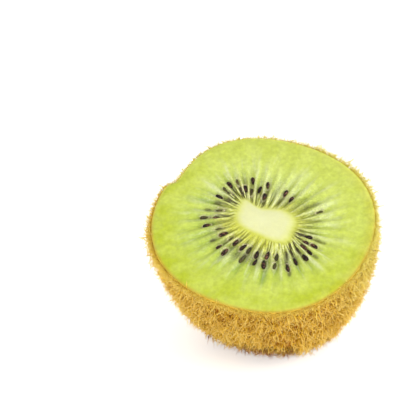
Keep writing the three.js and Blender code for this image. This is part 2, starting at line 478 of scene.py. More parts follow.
pulpLook = {
    "columns": 600,
    "coreRings": 14,
    "faceRings": 84,
    "ringSpacing": (0.62, 0.38),  # closer together where the seeds are
    "skinRows": 36,
    "rowSpacing": 1.3,  # and closer together near the cut
    "cornerShare": 0.003,  # extra rows on both sides of the cut's edge keep its shading crisp
    "cornerWays": (0.0002, 0.001),
    "grain": ((1.1, 0.035), (0.45, 0.02)),  # size and height of the fine relief
    "wallRelief": 0.1,
    "nestRelief": 0.08,
    "draw": 31,
    # directions around the core; a second value is how strong the change is there
    "paleSide": 75,
    "greenSide": 215,  # greenest beyond the seeds
    "airySide": (100, 0.8),  # the chambers are hardly darker beyond the seeds
    "calmSide": (12, 0.7),  # the chambers hardly show
    "sunnySide": (-5, 0.35),  # yellower along the skin
    "deepSide": (258, 0.7),  # darkest among the seeds
    "fadedSide": (-20, 0.07),  # the core fades soonest
    "ochreSide": (240, 62),  # the yellow zone beside the core: its direction and width
    # where a zone starts, is full, starts to fade and has gone, from the core's edge at 0 to the skin at 1
    "zones": {
        "hollow": (0.02, 0.12, 0.24, 0.46),
        "haze": (0.15, 0.35, 0.45, 0.85),
        "deep": (0.16, 0.28, 0.34, 0.44),
        "fan": (-0.03, 0.03, 0.14, 0.32),
        "ochre": (-0.3, 0.06, 0.1, 0.3),
        "ragged": (-0.5, 0, 0.6, 0.9),
        "grain": (-1.2, 0.1, 0.97, 1),
        "airy": (0.27, 0.42),  # this one and the next three last up to the skin
        "sunny": (0.82, 1.0),
        "thinEdge": (0.95, 0.995),
        "blush": (0.962, 1.0),
    },
    "walls": {  # pale, between the chambers, and each with its own draws
        "strength": (0.3, 1.0), "plump": (0.6, 1.7), "start": (-0.08, 0.08), "end": (0.26, 0.6),
        "fade": (0.12, 0.4),
        "width": (0.12, 0.8),  # at the core, and what it gains on the way to the skin
        "bends": ((9, 2.1, 1.0), (23, 5.3, 0.6)),  # waves, their shift from wall to wall, their share
        "wobble": 0.2,
        "greenLoss": 0.45,  # how much weaker they are on the green side
        "outerLoss": 0.4,  # and how much weaker farther out
    },
    "flares": {  # wide and pale, some way beyond the seeds
        "count": 26,
        "side": (95, 0.5, 0.45),  # direction, usual strength and how much more or less it is there
        "width": (0.35, 1.1), "start": (0.12, 0.32), "length": (0.14, 0.3), "fade": 0.25, "sway": 0.25,
        "strength": (0.25, 0.85),
    },
    "streaks": {  # darker green, in the middle of some chambers
        "strength": (-0.25, 1.0), "middle": (0.35, 0.65), "start": (0.16, 0.3), "end": (0.36, 0.56),
        "fade": 0.2, "width": 0.3,
        "favour": (0.75, 0.7),  # usual strength, and how much more it is on the green side
        "haze": 0.45,  # how green it is there between the streaks
    },
    "nests": {  # what lies around a seed: a pale rim and shades
        "rim": 0.17,  # how far it stands off and how wide it is, as a share of the seed
        "clear": (0.15, 1.0),
        "shades": ((0.9, 1.5, 0.5, -0.7), (0.5, 1.5, 0.75, 0.3)),  # strength, length, width, shift outward
    },
    "ghosts": {  # seeds that shimmer through from below the cut
        "count": 26,
        "phase": (0.35, 0.65),  # where in a chamber
        "ring": (0.08, 0.4, 0.1),  # from, to and how much less far on the pale side
        "roll": 10, "size": (0.7, 1.1), "strength": (0.45, 0.95),
        "veil": 0.55,  # how much fainter they are on the pale side
        "edge": (0.5, 1.3), "shade": (0.6, 1.4, 0.6, -0.5),
    },
    "lines": {  # fine ones that fan out from the core, strongest on two sides
        "sides": 128,
        "strength": (0.65, 0.4, 0.5),  # usual, how much more on those sides, how uneven
        "swell": 2.2,  # how fast their strength changes around the core
    },
    "ragged": (9, 2, 0.045),  # how fast the core's edge wavers around it and outward, and how far
    "rays": (14, 3.2),  # how fast the fibres change around the core and outward
    "upper": (-16, 24),  # from where to where the face gets paler, towards the pale side
    # noise: scale, detail and roughness
    "fibres": (1.0, 3.0, 0.6),
    "fineFibres": (1.6, 2.0, 0.6),
    "crumbs": (1500.0, 2.0, 0.6),
    "cells": (1000.0, 3.0, 0.6),
    "clouds": (260.0, 3.0, 0.5),
    "specks": (2600.0, 2.0, 0.6),
    # colours from the middle of the core at 0, over its edge at 0.5, to the skin at 1
    "rings": (
        (0.0, (216, 217, 166)),
        (0.34, (215, 216, 160)),
        (0.43, (212, 214, 140)),
        (0.485, (202, 206, 104)),
        (0.525, (180, 184, 70)),
        (0.57, (160, 165, 60)),
        (0.64, (164, 176, 66)),
        (0.72, (178, 193, 74)),
        (0.80, (182, 196, 72)),
        (0.88, (180, 193, 54)),
        (0.94, (174, 187, 36)),
        (0.984, (174, 185, 30)),
        (0.995, (182, 179, 36)),
        (1.0, (190, 174, 46)),
    ),
    # what lies over them, from the bottom up: how much it covers, and its colour
    "layers": {
        "upper": (0.4, (200, 209, 112)),
        "clouds": (0.35, (200, 209, 112)),
        "blush": (0.75, (184, 150, 34)),  # the skin shines through the thin edge on the near side
        "thinEdge": (0.9, (208, 216, 88)),  # and light shines through it on the far side
        "hollow": (0.7, (132, 146, 52)),
        "streaks": (0.9, (118, 152, 30)),
        "ochre": (0.85, (198, 200, 68)),
        "paleFibres": (0.55, (204, 210, 158)),
        "darkLines": (1.0, (54, 38, 16)),
        "shade": (0.9, (76, 70, 26)),
        "flares": (0.8, (202, 213, 146)),
        "walls": (0.95, (204, 210, 158)),
        "paleLines": (0.9, (216, 220, 148)),
        "ghost": (0.9, (72, 68, 32)),
        "nest": (0.85, (222, 208, 170)),
    },
    # then each of these noises makes it darker and lighter, from the first value to the second
    "gains": {"fineFibres": (0.97, 1.02), "cells": (0.88, 1.1), "clouds": (0.97, 1.03), "specks": (0.8, 1.2)},
    "roughness": (0.4, 0.55),
    "cellDepth": 0.08,
    "surface": {
        "Subsurface Weight": 0.3, "Subsurface Radius": (1.0, 0.9, 0.3), "Subsurface Scale": 0.0012,
        "Specular IOR Level": 0.35, "Coat Weight": 0.12, "Coat Roughness": 0.2,
    },
}
peelLook = {
    "light": (166, 110, 26),
    "dark": (128, 75, 14),
    "blotches": (420.0, 4.0, 0.65),
    "pores": (2600.0, 2.0, 0.5),
    "poreDepth": 0.12,
    "bumps": ((2.4, 0.12), (0.8, 0.07)),  # size and height
    # painted light: near the cut the peel is paler, which lifts the shade among the hair roots
    "litAtCut": (226, 194, 76),
    "cutWay": 0.02,
    "floorShade": (2.6, 6.2),  # painted shade near the floor: the skin is dark below the first height and no longer so above the second
    # the colour of that painted shade near the floor
    "floorShadeColour": (72, 26, 8),
    "shadePatches": (6.5, 9.5, 37.83),  # size of the patches of painted shade near the floor, how far up and down they reach, where they fall
    "surface": {"Roughness": 0.75, "Specular IOR Level": 0.05},
}


# how far the patches of painted shade near the floor reach down at each point of the skin, where it is before
# it is laid down
def floorShadeReach(points):
    size, reach, offset = peelLook["shadePatches"]
    return reach * lumpy(points, size, offset)


# painted shade: how dark the skin is near the floor
def floorShadeAt(height, shadePatches):
    return 1 - smooth(height + shadePatches, *peelLook["floorShade"])


# places on a drum, where noise is read so that it changes around the core and outward
def onDrum(angle, share, width, length):
    return np.stack([np.cos(angle) * width, np.sin(angle) * width, share * length], axis=-1)


# 1 in a named zone of the cut face and 0 outside it
def inZone(share, name):
    return zone(share, *pulpLook["zones"][name])


# one random value for each chamber, read by the points of chamber k
def perChamber(rng, limits, k):
    return np.array([rng.uniform(*limits) for _ in range(chambers["count"])])[k]


# pale walls between the chambers: each has its own strength, length and slight bends
def wallMask(angle, share, point, rng):
    look = pulpLook["walls"]
    phase = chamberPhase(angle) / circle
    nearest = np.round(phase)
    k = nearest.astype(int) % chambers["count"]
    strength = perChamber(rng, look["strength"], k)
    plump = perChamber(rng, look["plump"], k)
    start = perChamber(rng, look["start"], k)
    end = perChamber(rng, look["end"], k)
    fade = perChamber(rng, look["fade"], k)
    bend = sum(part * np.sin(waves * share + shift * k) for waves, shift, part in look["bends"])
    distance = (phase - nearest) * circle * np.hypot(point[:, 0], point[:, 1]) / chambers["count"]
    distance = distance + look["wobble"] * bend * smooth(share, 0.02, 0.3)
    inner, gain = look["width"]
    width = plump * (inner + gain * np.clip(share - 0.05, 0, 1))
    strength = strength * (1 - onSide(angle, pulpLook["greenSide"], look["greenLoss"]))
    strength = strength * zone(share, start, start + 0.1, end, end + fade)
    return strength * (1 - look["outerLoss"] * smooth(share, 0.1, 0.45)) * hump(distance, width)


# wide pale streaks that run on beyond the seeds, each with its own length
def flareMask(angle, share, point, rng):
    look = pulpLook["flares"]
    side, usual, more = look["side"]
    radius = np.hypot(point[:, 0], point[:, 1])
    cover = np.zeros(len(angle))
    for _ in range(look["count"]):
        middle = rng.uniform(0, circle)
        favour = usual + more * math.cos(middle - rad(side))
        width = rng.uniform(*look["width"])
        start = rng.uniform(*look["start"])
        end = start + rng.uniform(*look["length"])
        strength = rng.uniform(*look["strength"]) * favour
        across = turnFrom(angle, middle) * radius + look["sway"] * np.sin(8 * share + middle * 3)
        along = zone(share, start, start + 0.1, end, end + look["fade"])
        cover = np.maximum(cover, strength * along * hump(across, width * (0.7 + share)))
    return cover


# darker green streaks in the middle of some chambers, beyond the seeds
def streakMask(angle, share, rng):
    look = pulpLook["streaks"]
    phase = chamberPhase(angle) / circle
    k = np.floor(phase).astype(int) % chambers["count"]
    strength = np.maximum(0, perChamber(rng, look["strength"], k))
    middle = perChamber(rng, look["middle"], k)
    end = perChamber(rng, look["end"], k)
    along = zone(share, *look["start"], end, end + look["fade"])
    side = np.cos(angle - rad(pulpLook["greenSide"]))
    usual, more = look["favour"]
    narrow = np.clip((usual + more * side) * strength, 0, 1) * along * hump(phase % 1 - middle, look["width"])
    wide = look["haze"] * np.maximum(0, side) * inZone(share, "haze")
    return np.maximum(narrow, wide)


# where points are from a seed, along it and across it
def fromSeed(point, place):
    dx = point[:, 0] - place["point"][0]
    dy = point[:, 1] - place["point"][1]
    c, s = math.cos(place["heading"]), math.sin(place["heading"])
    return dx * c + dy * s, dy * c - dx * s


# how much a seed shades each point: a long soft drop
def seedShade(point, place, strength, length, width, push):
    along, across = fromSeed(point, place)
    size = place["size"]
    return strength * hump(along - push, length * size) * hump(across, width * size)


# 1 at a seed's outline, less inside it and more outside
def reachFrom(point, place):
    along, across = fromSeed(point, place)
    size = place["size"] / 2
    return np.hypot(along / (seedLook["length"] * size), across / (seedLook["width"] * size))


def ghostPlaces(rng):
    look = pulpLook["ghosts"]
    start, end, less = look["ring"]
    places = []
    for _ in range(look["count"]):
        k = rng.randrange(chambers["count"])
        angle = float(angleAtPhase(circle * (k + rng.uniform(*look["phase"]))))
        share = rng.uniform(start, end - less * math.cos(angle - rad(pulpLook["paleSide"])))
        roll = rad(rng.uniform(-look["roll"], look["roll"]))
        places.append(seedAt(angle, share, rng.uniform(*look["size"]), roll))
    return places


# pale rims around the seeds, their shades, and the dim shapes of those below the cut
def seedMasks(face, shown, hidden, rng):
    nests, ghosts = pulpLook["nests"], pulpLook["ghosts"]
    nest, shade, ghost = np.zeros((3, len(face)))
    rim = nests["rim"]
    for place in shown:
        for drop in nests["shades"]:
            shade = np.maximum(shade, seedShade(face, place, *drop))
        clear = rng.uniform(*nests["clear"])
        nest = np.maximum(nest, clear * hump(reachFrom(face, place) - 1 - rim, rim))
    for place in hidden + ghostPlaces(rng):
        veiled = 1 - ghosts["veil"] * max(0, math.cos(place["heading"] - rad(pulpLook["paleSide"])))
        dim = veiled * rng.uniform(*ghosts["strength"])
        ghost = np.maximum(ghost, dim * (1 - smooth(reachFrom(face, place), *ghosts["edge"])))
        shade = np.maximum(shade, seedShade(face, place, *ghosts["shade"]))
    return nest, shade, ghost


# 0 in the middle of the core, 0.5 at its ragged edge and 1 at the skin
def ringMask(angle, share):
    width, length, height = pulpLook["ragged"]
    ragged = height * lumpy(onDrum(angle, share, width, length), 1.0)
    ragged = ragged + onSide(angle, *pulpLook["fadedSide"], power=1)
    moved = share + ragged * inZone(share, "ragged")
    return (np.clip(moved, -1, 1) + 1) / 2


def lineMask(angle, share):
    look = pulpLook["lines"]
    usual, more, uneven = look["strength"]
    strength = usual + more * np.cos(2 * (angle - rad(look["sides"])))
    strength = strength + uneven * lumpy(onDrum(angle, share, look["swell"], 0), 1.0, 4.0)
    return inZone(share, "fan") * np.clip(strength, 0.1, 1)


# every mask of the cut face, by the name that the material reads it by
def faceMasks(face, angle, share, shown, hidden):
    look = pulpLook
    rng = random.Random(look["draw"])
    walls = wallMask(angle, share, face, rng)
    streaks = streakMask(angle, share, rng)
    nest, shade, ghost = seedMasks(face, shown, hidden, rng)
    flares = flareMask(angle, share, face, rng)

    calm = 1 - onSide(angle, *look["calmSide"], power=3)
    halfCalm = 0.4 + 0.6 * calm
    airy = 1 - onSide(angle, *look["airySide"]) * inZone(share, "airy")
    besideWalls = 1 - 0.75 * walls
    inChamber = 0.5 - 0.5 * np.cos(chamberPhase(angle))
    deep = onSide(angle, *look["deepSide"], power=4) * inZone(share, "deep")
    sunny = onSide(angle, *look["sunnySide"]) * inZone(share, "sunny")
    side, width = look["ochreSide"]
    upward = np.hypot(face[:, 0], face[:, 1]) * np.cos(angle - rad(look["paleSide"]))
    return {
        "ring": ringMask(angle, share),
        "walls": walls,
        "streaks": streaks * calm * airy,
        "hollow": inZone(share, "hollow") * inChamber * calm * airy,
        "shade": np.maximum(shade * besideWalls * airy, deep),
        "nest": nest,
        "ghost": ghost * besideWalls * halfCalm * airy,
        "fan": lineMask(angle, share),
        "flares": flares * halfCalm,
        "ochre": hump(turnFrom(angle, rad(side)), rad(width)) * inZone(share, "ochre"),
        "blush": inZone(share, "blush") * (0.5 - 0.5 * np.sin(angle)) + sunny,
        "thinEdge": inZone(share, "thinEdge") * np.clip(0.3 + np.sin(angle), 0, 1),
        "upper": smooth(upward, *look["upper"]),
    }


# the cut face ring by ring, with each point's angle and its share, which runs from -1 to 0 in the core
def cutFace(around):
    look = pulpLook
    x, y = coreEdge(around)
    rings, shares = [], []
    for part in np.arange(1, look["coreRings"] + 1) / look["coreRings"]:
        height = np.full(len(around), core["dome"] * (1 - part**2))
        rings.append(np.stack([x * part, y * part, height], axis=-1))
        shares.append(part - 1)
    steps = np.arange(1, look["faceRings"] + 1) / look["faceRings"]
    even, growing = look["ringSpacing"]
    for share in np.insert(steps * (even + growing * steps), -1, 1 - look["cornerShare"]):
        rings.append(facePoint(around, share))
        shares.append(share)
    return np.concatenate(rings), np.tile(around, len(rings)), np.repeat(shares, len(around))


def makeHalf(shown, hidden):
    look = pulpLook
    columns = look["columns"]
    around = np.arange(columns) / columns * circle
    face, angle, share = cutFace(around)
    masks = faceMasks(face, angle, share, shown, hidden)
    for size, height in look["grain"]:
        face[:, 2] += height * lumpy(face, size) * inZone(share, "grain")
    face[:, 2] += look["wallRelief"] * masks["walls"] + look["nestRelief"] * masks["nest"]

    ways = (np.arange(1, look["skinRows"]) / look["skinRows"]) ** look["rowSpacing"]
    ways = np.concatenate([look["cornerWays"], ways])
    skin = np.concatenate([skinPoint(around, np.full(columns, way)) for way in ways])
    bumps = sum(height * lumpy(skin, size) for size, height in peelLook["bumps"])
    skin[:, :2] += bumps[:, None] * skin[:, :2] / fruit["halfWidth"]

    middle = np.array([[0, 0, core["dome"]]])
    end = skinPoint(np.zeros(1), np.ones(1))
    points = lie(np.concatenate([middle, face, skin, end]))
    points[:, 2] = np.maximum(points[:, 2], 0)
    faces = shellFaces((len(face) + len(skin)) // columns, columns)
    half = makeMesh("kiwiHalf", points, faces)

    # the masks of the cut face are 0 on the skin, but for the ring mask, which stays at 1
    for name, values in masks.items():
        onSkin = np.full(len(skin) + 1, 1.0 if name == "ring" else 0.0)
        addMask(half, name, np.concatenate([[0.0], values, onSkin]))
    # painted light on the peel near the cut
    litNearCut = np.repeat(1 - smooth(ways, 0, peelLook["cutWay"]), columns)
    addMask(half, "litNearCut", np.concatenate([np.ones(len(face) + 1), litNearCut, [0.0]]))
    # painted shade on the skin near the floor
    floorShade = floorShadeAt(lie(skin)[:, 2], floorShadeReach(skin))
    addMask(half, "floorShade", np.concatenate([np.zeros(len(face) + 1), floorShade, [0.0]]))
    width, length = look["rays"]
    rays = onDrum(angle, share, width, length)
    addMask(half, "rays", np.concatenate([[[0, 0, -length]], rays, np.zeros((len(skin) + 1, 3))]))

    half.data.materials.append(pulpMaterial())
    half.data.materials.append(peelMaterial())
    half.data.polygons.foreach_set("material_index", (faces.max(axis=1) > len(face)).astype(np.int32))
    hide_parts("kiwi_half")
    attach(half, "root")


def pulpMaterial():
    look = pulpLook
    material, tree, shader = newMaterial("kiwiPulp")
    here = objectPlace(tree)
    rays = readAttribute(tree, "rays", "Vector")
    ring = readAttribute(tree, "ring")
    fan = readAttribute(tree, "fan")
    fibres = noiseNode(tree, rays, *look["fibres"])
    fineFibres = noiseNode(tree, rays, *look["fineFibres"])
    crumbs = noiseNode(tree, here, *look["crumbs"])
    cells = noiseNode(tree, here, *look["cells"])
    clouds = noiseNode(tree, here, *look["clouds"])
    specks = noiseNode(tree, here, *look["specks"])

    outer = remap(tree, ring, 0.6, 0.75)
    beyondSeeds = multiply(tree, remap(tree, ring, 0.54, 0.66), remap(tree, ring, 0.9, 0.74))
    amongSeeds = multiply(tree, remap(tree, ring, 0.5, 0.56), remap(tree, ring, 0.78, 0.68))
    brokenUp = remap(tree, fibres, 0.36, 0.56, 0.3, 1.0)

    # a layer covers where its mask is, or a noise, or both together
    def inMask(name, second):
        return multiply(tree, readAttribute(tree, name), second)

    covers = {
        "upper": inMask("upper", outer),
        "clouds": multiply(tree, remap(tree, clouds, 0.4, 0.62), outer),
        "streaks": inMask("streaks", remap(tree, fibres, 0.3, 0.55)),
        "paleFibres": multiply(tree, remap(tree, fibres, 0.5, 0.66), beyondSeeds),
        "darkLines": multiply(tree, remap(tree, fineFibres, 0.5, 0.42), fan),
        "shade": inMask("shade", remap(tree, crumbs, 0.38, 0.58, 0.4, 1.1)),
        "flares": inMask("flares", brokenUp),
        "walls": inMask("walls", brokenUp),
        "paleLines": multiply(tree, remap(tree, fineFibres, 0.53, 0.6), fan),
        "nest": inMask("nest", remap(tree, crumbs, 0.44, 0.56, 0.05, 1.0)),
    }
    for name in ("blush", "thinEdge", "hollow", "ochre", "ghost"):
        covers[name] = readAttribute(tree, name)
    colour = colourRamp(tree, ring, look["rings"])
    for name, (most, tone) in look["layers"].items():
        colour = mixColours(tree, multiply(tree, covers[name], most), colour, screenColour(*tone))

    # light and dark grains, hardly any in the core and more among the seeds
    grey = (0.5, 0.5, 0.5, 1.0)
    grains = {
        "fineFibres": fineFibres,
        "cells": mixColours(tree, remap(tree, ring, 0.44, 0.56, 0.15, 1.0), grey, cells),
        "clouds": clouds,
        "specks": mixColours(tree, amongSeeds, grey, specks),
    }
    for name, gains in look["gains"].items():
        colour = scaleColour(tree, colour, remap(tree, grains[name], 0.3, 0.7, *gains))
    tree.links.new(remap(tree, cells, 0.3, 0.7, *look["roughness"]), shader.inputs["Roughness"])
    finishShader(tree, shader, colour, look, cells, look["cellDepth"])
    return material


def peelMaterial():
    look = peelLook
    material, tree, shader = newMaterial("kiwiPeel")
    here = objectPlace(tree)
    blotches = noiseNode(tree, here, *look["blotches"])
    colour = darkToLight(tree, remap(tree, blotches, 0.35, 0.65), look)
    # over the blotches go painted light near the cut and painted shade near the floor
    for mask, tone in (("litNearCut", "litAtCut"), ("floorShade", "floorShadeColour")):
        colour = mixColours(tree, readAttribute(tree, mask), colour, screenColour(*look[tone]))
    finishShader(tree, shader, colour, look, noiseNode(tree, here, *look["pores"]), look["poreDepth"])
    return material


shownSeeds, hiddenSeeds = seedPlaces()
makeHalf(shownSeeds, hiddenSeeds)
print("pulp and peel are made, with room for", len(shownSeeds), "seeds")

# ---- the seeds themselves

seedColours = {
    "dark": (24, 13, 9),
    # the light colour is partly the seeds' own reddish brown and partly painted sheen
    "light": (120, 80, 62),
    "mottle": (1900.0, 3.0, 0.6),  # noise: scale, detail and roughness; its light patches are partly painted sheen
    "lightest": (0.1, 1.0),  # how much of the light colour the darkest and the lightest seed have
    "mottleDepth": 0.03,
    "veil": (104, 104, 56),  # where juice and pulp cover a seed's foot
    "veilHeight": (-0.12, 0.3),
    "veilWaves": (0.5, 0.12),  # size and height of the waves in the veil's edge
    "sunkVeil": (0.1, 0.5),  # how veiled a deeper seed is all over
    "surface": {"Roughness": 0.35, "Specular IOR Level": 0.14, "Coat Weight": 0.08, "Coat Roughness": 0.1},
}


# a drop lying along X, its narrow end at -X, about 2 long before it is scaled
def seedPoints(rng):
    sides = seedLook["sides"]
    turn = np.arange(sides) / sides * circle
    lean = rng.uniform(-seedLook["lean"], seedLook["lean"])
    rows = [[[-1.0, 0.0, 0.0]]]
    for x in -np.cos(math.pi * np.arange(1, seedLook["rings"]) / seedLook["rings"]):
        belly = 1 - x * x
        radius = math.sqrt(belly) * (1 - seedLook["taper"] * (1 - x))
        across = radius * np.cos(turn) + lean * belly
        rows.append(np.stack([np.full(sides, x), across, radius * np.sin(turn)], axis=-1))
    rows.append([[1.0, 0.0, 0.0]])
    return np.concatenate(rows)


def makeSeeds(shown):
    look = seedLook
    rng = random.Random(look["draw"])
    faces = shellFaces(look["rings"] - 1, look["sides"])[:, ::-1]
    chance, depth = look["sunk"]
    dimple, dimpleHeight = look["dimples"]
    wave, waveHeight = seedColours["veilWaves"]
    allPoints, allFaces, tones, veils = [], [], [], []
    for place in shown:
        points = seedPoints(rng)
        half = np.array([look["length"], look["width"], look["height"]]) / 2 * place["size"]
        points = points * half * np.array([rng.uniform(*look["longer"]), rng.uniform(*look["wider"]), 1.0])
        sink = depth * rng.random() if rng.random() < chance else 0.0
        c, s = math.cos(place["heading"]), math.sin(place["heading"])
        x, y, z = points.T
        laid = np.stack([x * c - y * s, x * s + y * c, z + look["lift"] - sink], axis=-1) + place["point"]
        laid[:, 2] += dimpleHeight * lumpy(laid, dimple)
        allPoints.append(laid)
        allFaces.append(faces + len(laid) * len(allFaces))
        tones.append(np.full(len(laid), rng.random()))
        height = laid[:, 2] - place["point"][2] + waveHeight * lumpy(laid, wave)
        veil = 1 - smooth(height, *seedColours["veilHeight"])
        if sink:
            veil = np.maximum(veil, rng.uniform(*seedColours["sunkVeil"]) + 0.2 * lumpy(laid, 0.4))
        veils.append(np.clip(veil, 0, 1))
    seeds = makeMesh("seeds", lie(np.concatenate(allPoints)), np.concatenate(allFaces))
    addMask(seeds, "tone", np.concatenate(tones))
    addMask(seeds, "veil", np.concatenate(veils))
    seeds.data.materials.append(seedMaterial())
    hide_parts("kiwi_half")
    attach(seeds, "root")


def seedMaterial():
    look = seedColours
    material, tree, shader = newMaterial("seedCoat")
    mottle = noiseNode(tree, objectPlace(tree), *look["mottle"])
    lightness = remap(tree, readAttribute(tree, "tone"), 0.0, 1.0, *look["lightest"])
    # light patches of the mottle, partly the seeds' own colour and partly painted sheen
    colour = darkToLight(tree, multiply(tree, remap(tree, mottle, 0.49, 0.61), lightness), look)
    colour = mixColours(tree, readAttribute(tree, "veil"), colour, screenColour(*look["veil"]))
    finishShader(tree, shader, colour, look, mottle, look["mottleDepth"])
    return material


makeSeeds(shownSeeds)
print("seeds are laid in")

# ---- the coat of hair: strands with three sides that taper and curl

single = {  # hairs that don't grow in locks
    "group": 1, "levels": 2, "downward": 0.5, "spread": 90, "wave": 0, "gap": 0, "hold": 0, "stray": 0,
}
coatLook = {
    "longHair": {
        "count": 9000,
        "group": 2,  # hairs in a lock
        "levels": 4,
        "length": (2.6, 4.2),
        "radius": 0.085,
        "ways": (0.003, 0.985),  # from the cut to the far end
        "stand": (44, 80),  # from the skin's normal
        "downward": 0.85,  # how many of them point away from the cut
        "spread": 26,
        "curl": (10, 100),  # how far a hair turns one way
        "wave": 32,  # and how far it turns there and back
        "gap": 0.07,  # between the hairs of a lock at the skin
        "hold": 0.3,  # how much closer together they are at the tip
        "stray": 0.08,
        "tone": (0.0, 0.35),  # 0 is the palest
        "floorShaded": 0.8,  # how many of them get painted shade near the floor
        "draw": 11,
    },
    "curlyHair": {
        "count": 9000, "group": 2, "levels": 4, "length": (2.1, 3.4), "radius": 0.08, "ways": (0.003, 0.985),
        "stand": (28, 74), "downward": 0.7, "spread": 42, "curl": (60, 200), "wave": 25, "gap": 0.07,
        "hold": 0.2, "stray": 0.1, "tone": (0.0, 0.6), "floorShaded": 0.8, "draw": 12,
    },
    "wispyHair": {
        **single, "count": 10000, "levels": 3, "length": (2.0, 3.5), "radius": 0.052, "ways": (0.001, 0.985),
        "stand": (0, 50), "curl": (40, 200), "stray": 0.15, "tone": (0.0, 0.3), "floorShaded": 0.6, "draw": 15,
    },
    # the undercoat's darker tones are partly painted shade under the longer hair
    "shortHair": {
        **single, "count": 16000, "length": (0.9, 1.8), "radius": 0.075, "ways": (0.001, 0.985),
        "stand": (15, 75), "curl": (10, 80), "tone": (0.45, 1.0), "floorShaded": 1.0, "draw": 13,
    },
    "rimHair": {
        **single, "count": 6500, "length": (0.8, 1.9), "radius": 0.055, "ways": (0.0, 0.016),
        "stand": (5, 65), "downward": 0.3, "spread": 60, "curl": (10, 90), "tone": (0.0, 0.5), "floorShaded": 0.0,
        "draw": 14,
    },
    "swirl": (76, 6.0),  # how far slow swirls turn the hairs, and how wide they are
    "underside": (0.1, 0.8),  # how far the skin faces down where it counts as below
    "pressed": (-0.1, 0.05),  # below, hairs are this much shorter and closer to the skin
    "flattest": 85,  # no hair is pressed lower than this, from the skin's normal
    "tufts": ((5.0, 0.5), (1.3, 0.45)),  # size of lighter and darker tufts, and how much they differ
    "worn": (8.0, 0.28, 0.6),  # size of the worn places, how rare they are and the share of hairs lost there
    "tries": 4,  # places looked at for each lock
    "rootDepth": 0.1,
    "overCut": 1.1,  # no tip ends higher than this above the cut
    "floorGap": 0.06,
    "flatSpot": 0.35,  # no hair grows where the skin is nearer than this to the floor
    "whiskers": ((48, 32, 0.55), (200, 28, 0.6)),  # where hairs at the cut are longer: side, width and gain
    "whiskerWay": (0.01, 0.06),
    "litNearCut": 0.015,  # painted light: close to the cut the hairs are yellow to the root, which lifts the shade among the roots
    "paleLitSide": (25, 0.75),  # painted light: the side on which they are palest near the cut, and how pale
    "paleLitWay": (0.06, 0.28),
    # how much single hairs differ
    "lengths": (0.75, 1.0),
    "widths": (0.75, 1.25),
    "tones": 0.08,
    "paleLitStrength": (0.7, 1.0),
    "floorShadeStrength": (0.8, 1.0),
    "leastFloorShade": 0.3,  # how much painted shade the other hairs get near the floor
    # colours from root to tip: of every hair, and then of what each mask tints
    "pale": ((0.0, (178, 112, 4)), (0.3, (238, 193, 44)), (1.0, (251, 231, 148))),
    "tinted": {
        "tone": ((0.0, (118, 66, 2)), (0.4, (190, 133, 8)), (1.0, (236, 190, 82))),
        # painted shade near the floor
        "floorShade": ((0.0, (52, 14, 4)), (0.5, (104, 38, 14)), (1.0, (206, 130, 72))),
        # painted light near the cut, which lifts the shade among the roots
        "litNearCut": ((0.0, (230, 194, 76)), (0.4, (234, 200, 78)), (1.0, (248, 232, 120))),
        # painted light: paler hair on the lit side and along the far rim
        "paleLit": ((0.0, (222, 206, 80)), (0.3, (228, 216, 92)), (1.0, (238, 233, 146))),
    },
    "surface": {"Roughness": 0.6, "Specular IOR Level": 0.08},
}


def unit(vectors):
    return vectors / np.linalg.norm(vectors, axis=-1, keepdims=True)


# the skin's outward, upward and sideways directions at a place
def skinFrame(angle, way):
    here = skinPoint(angle, way)
    side = unit(skinPoint(angle + tiny, way) - here)
    up = unit(skinPoint(angle, np.maximum(way - tiny, 0)) - skinPoint(angle, way + tiny))
    return here, unit(np.cross(side, up)), up, side


# places spread evenly over the skin's area, but for the flat spot and the worn places
def scatterRoots(count, ways, rng):
    tries = coatLook["tries"] * count
    angle = rng.uniform(0, circle, tries)
    way = rng.uniform(*ways, tries)
    here = skinPoint(angle, way)
    beside = skinPoint(angle + tiny, way) - here
    beyond = skinPoint(angle, way + tiny) - here
    area = np.linalg.norm(np.cross(beside, beyond), axis=-1)
    keep = rng.uniform(0, np.percentile(area, 99.5), tries) < area
    keep &= lie(here)[:, 2] > coatLook["flatSpot"]
    size, rarity, loss = coatLook["worn"]
    worn = smooth(lumpy(here, size, 2.0), rarity, rarity + 0.15) * smooth(way, 0.05, 0.12)
    keep &= rng.random(tries) > loss * worn
    chosen = np.flatnonzero(keep)[:count]
    return angle[chosen], way[chosen]


# closed strands along the paths, one path in each row, thinning from the root to a point
def strandMesh(paths, radius):
    count, levels = paths.shape[0], paths.shape[1] - 1
    ahead = unit(paths[:, 1] - paths[:, 0])
    other = np.where(np.abs(ahead[:, 2:]) > 0.8, [[1.0, 0, 0]], [[0, 0, 1.0]])
    first = unit(np.cross(ahead, other))
    points = []
    for level in range(levels):
        if level > 0:
            ahead = unit(paths[:, level + 1] - paths[:, level - 1])
            first = unit(first - ahead * np.sum(first * ahead, axis=-1, keepdims=True))
        second = np.cross(ahead, first)
        thin = (1 - level / levels) ** 0.5
        for corner in range(3):
            turn = corner * circle / 3
            reach = (first * math.cos(turn) + second * math.sin(turn)) * (radius * thin)[:, None]
            points.append(paths[:, level] + reach)
    points.append(paths[:, levels])
    points = np.stack(points, axis=1)
    size = points.shape[1]
    faces = shellFaces(levels, 3)[:, ::-1] - 1
    faces = np.concatenate([[[2, 1, 0]], faces[faces.min(axis=1) >= 0]])  # one triangle closes the root
    faces = faces[None] + (np.arange(count) * size)[:, None, None]
    along = np.append(np.repeat(np.arange(levels) / levels, 3), 1.0)
    return points.reshape(-1, 3), faces.reshape(-1, 3), np.tile(along, count), size


